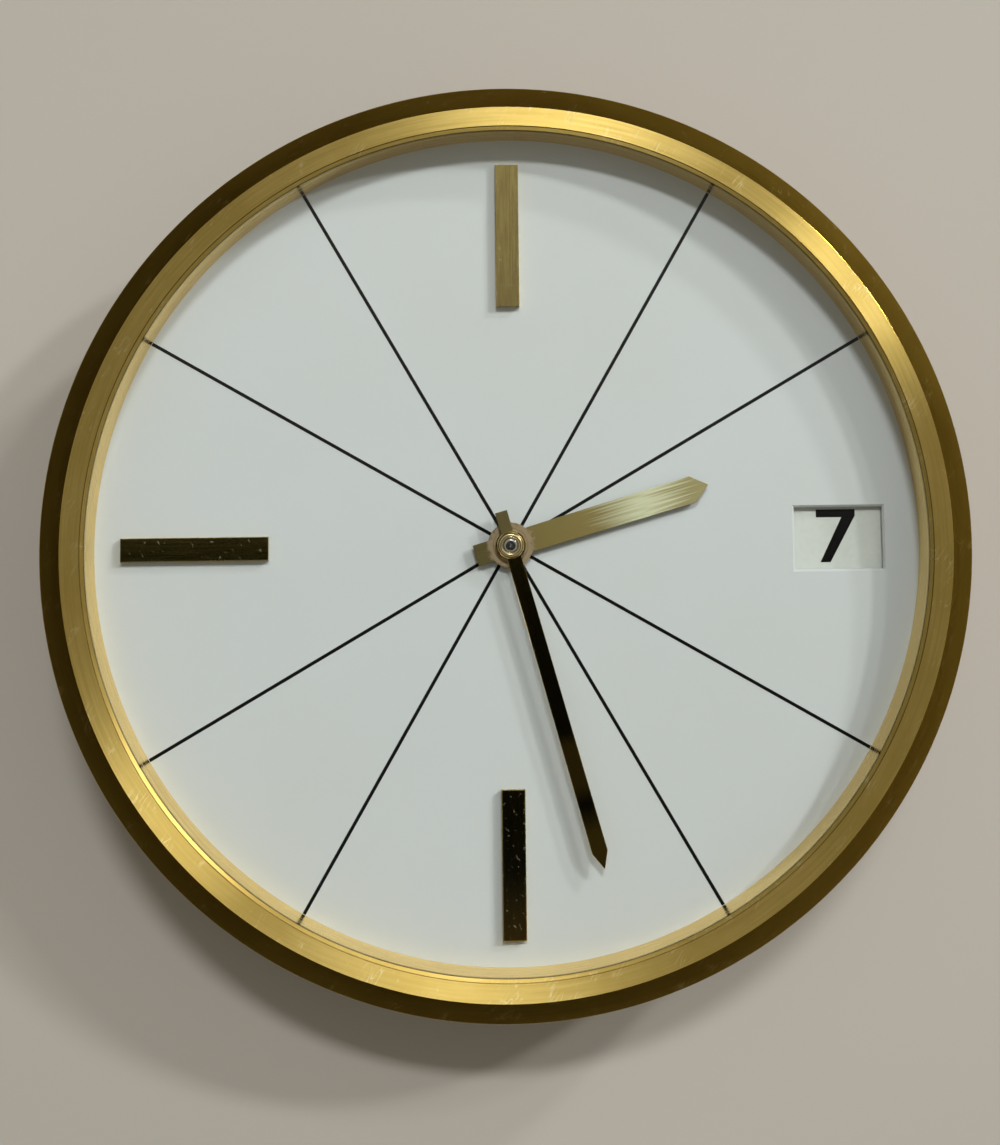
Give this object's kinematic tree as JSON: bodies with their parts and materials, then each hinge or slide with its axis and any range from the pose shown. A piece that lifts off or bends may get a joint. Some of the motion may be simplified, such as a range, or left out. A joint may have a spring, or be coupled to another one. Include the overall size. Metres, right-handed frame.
{
  "type": "desk clock",
  "caption": "Round brass desk clock with a radial-line dial, baton markers, two flat hands, a date window, a key-wound movement and a folding strut at the back.",
  "frame": {"origin": "centre of the drum's back rim, which rests on z = 0 with the clock lying on its back as pictured", "axes": "+Z out of the dial, +Y to 12 o'clock, +X to 3 o'clock"},
  "size_m": [0.13, 0.13, 0.0252],
  "materials": {
    "bezel_brass": "satin front ring, polished bevel",
    "ring_brass": "satin",
    "case_brass": "satin",
    "movement_brass": "satin",
    "hand_brass": "brushed lengthwise",
    "baton_brass": "polished",
    "clear_glass": "clear, flat",
    "gasket_rubber": "matte",
    "dial_white": "satin lacquer",
    "date_white": "matte print",
    "steel": "polished",
    "jewel_ruby": "polished synthetic ruby"
  },
  "bodies": {
    "case": {"bezel": "bezel_brass", "glass": "clear_glass", "glass_gasket": "gasket_rubber", "dial_ring": "ring_brass", "case_drum": "case_brass", "dial": "dial_white", "dial_feet": "movement_brass", "baton_twelve": "baton_brass", "baton_six": "baton_brass", "baton_nine": "baton_brass", "wheel_posts": "steel", "date_jumper": "steel", "jumper_screw": "steel", "movement_holder": "movement_brass", "holder_screws": "steel", "main_plate": "movement_brass", "plate_screws": "steel", "back_plate": "movement_brass", "pillars": "movement_brass", "pillar_screws": "steel", "jewels": "jewel_ruby", "click_spring": "steel", "click_screw": "steel", "hairspring": "steel", "balance_cock": "movement_brass", "cock_screw": "steel", "back_cover": "case_brass", "cover_screws": "steel", "strut_bracket": "case_brass", "strut_pin": "steel", "bracket_screws": "steel"},
    "minute": {"minute_hand": "hand_brass", "cannon_pinion": "hand_brass"},
    "hour": {"hour_hand": "hand_brass", "hour_wheel": "movement_brass"},
    "minute_wheel_body": {"minute_wheel": "movement_brass"},
    "day": {"day_wheel": "movement_brass"},
    "setting": {"setting_arbor": "steel", "setting_knob": "case_brass"},
    "date": {"date_ring": "date_white"},
    "winding": {"barrel_arbor": "steel", "ratchet_wheel": "steel", "key_stem": "case_brass", "key_pin": "steel"},
    "key": {"key_bow": "case_brass"},
    "barrel_body": {"barrel": "movement_brass", "barrel_cover": "movement_brass", "mainspring": "steel"},
    "intermediate": {"intermediate_wheel": "movement_brass"},
    "centre": {"centre_wheel": "movement_brass", "centre_arbor": "steel"},
    "third": {"third_wheel": "movement_brass"},
    "fourth": {"fourth_wheel": "movement_brass"},
    "escape": {"escape_wheel": "movement_brass"},
    "pallet": {"pallet_lever": "steel"},
    "balance": {"balance_wheel": "movement_brass"},
    "strut_body": {"strut": "case_brass"}
  },
  "joints": [
    {"name": "minute_turn", "type": "hinge", "parent": "case", "child": "minute", "pos_m": [0, 0, 0.0152], "axis": [0, 0, 1], "continuous": true},
    {"name": "hour_turn", "type": "hinge", "parent": "case", "child": "hour", "pos_m": [0, 0, 0.0152], "axis": [0, 0, 1], "continuous": true},
    {"name": "minute_wheel_turn", "type": "hinge", "parent": "case", "child": "minute_wheel_body", "pos_m": [0.00919, -0.00771, 0.0152], "axis": [0, 0, 1], "continuous": true},
    {"name": "day_wheel_turn", "type": "hinge", "parent": "case", "child": "day", "pos_m": [-0.00275, 0.0156, 0.0152], "axis": [0, 0, 1], "continuous": true},
    {"name": "setting_turn", "type": "hinge", "parent": "case", "child": "setting", "pos_m": [0.02101, -0.00563, 0.0034], "axis": [0, 0, 1], "continuous": true},
    {"name": "date_turn", "type": "hinge", "parent": "case", "child": "date", "pos_m": [0, 0, 0.0168], "axis": [0, 0, 1], "continuous": true, "deforming": ["date_jumper"]},
    {"name": "winding_turn", "type": "hinge", "parent": "case", "child": "winding", "pos_m": [-0.024, 0, 0.007], "axis": [0, 0, 1], "range_deg": [0, 2304], "deforming": ["click_spring", "mainspring"]},
    {"name": "key_fold", "type": "hinge", "parent": "winding", "child": "key", "pos_m": [-0.024, 0, 0.0017], "axis": [-1, 0, 0], "range_deg": [0, 90]},
    {"name": "fourth_turn", "type": "hinge", "parent": "case", "child": "fourth", "pos_m": [0.01302, 0.01461, 0.007], "axis": [0, 0, 1], "continuous": true},
    {"name": "escape_turn", "type": "hinge", "parent": "case", "child": "escape", "pos_m": [0.00445, 0.01956, 0.007], "axis": [0, 0, 1], "continuous": true},
    {"name": "third_turn", "type": "hinge", "parent": "case", "child": "third", "pos_m": [0.01116, 0.00406, 0.007], "axis": [0, 0, 1], "continuous": true},
    {"name": "centre_turn", "type": "hinge", "parent": "case", "child": "centre", "pos_m": [0, 0, 0.007], "axis": [0, 0, 1], "continuous": true},
    {"name": "intermediate_turn", "type": "hinge", "parent": "case", "child": "intermediate", "pos_m": [-0.00959, 0.00863, 0.007], "axis": [0, 0, 1], "continuous": true},
    {"name": "barrel_turn", "type": "hinge", "parent": "case", "child": "barrel_body", "pos_m": [-0.024, 0, 0.0095], "axis": [0, 0, 1], "continuous": true},
    {"name": "pallet_rock", "type": "hinge", "parent": "case", "child": "pallet", "pos_m": [0.00345, 0.02525, 0.007], "axis": [0, 0, 1], "range_deg": [-4, 4]},
    {"name": "balance_swing", "type": "hinge", "parent": "case", "child": "balance", "pos_m": [-0.00595, 0.02867, 0.007], "axis": [0, 0, 1], "range_deg": [-270, 270], "stiffness_Nm_per_rad": 0.000004, "deforming": ["hairspring"]},
    {"name": "strut_fold", "type": "hinge", "parent": "case", "child": "strut_body", "pos_m": [0, 0.024, 0.0017], "axis": [1, 0, 0], "range_deg": [0, 32]}
  ],
  "couplings": [
    {"joint": "minute_wheel_turn", "follows": "minute_turn", "ratio": -0.33333},
    {"joint": "hour_turn", "follows": "minute_turn", "ratio": 0.083333},
    {"joint": "day_wheel_turn", "follows": "minute_turn", "ratio": -0.041667},
    {"joint": "setting_turn", "follows": "minute_turn", "ratio": 1},
    {"joint": "third_turn", "follows": "centre_turn", "ratio": -8},
    {"joint": "fourth_turn", "follows": "centre_turn", "ratio": 60},
    {"joint": "escape_turn", "follows": "centre_turn", "ratio": -600},
    {"joint": "intermediate_turn", "follows": "centre_turn", "ratio": -0.2},
    {"joint": "barrel_turn", "follows": "centre_turn", "ratio": 0.033333}
  ]
}
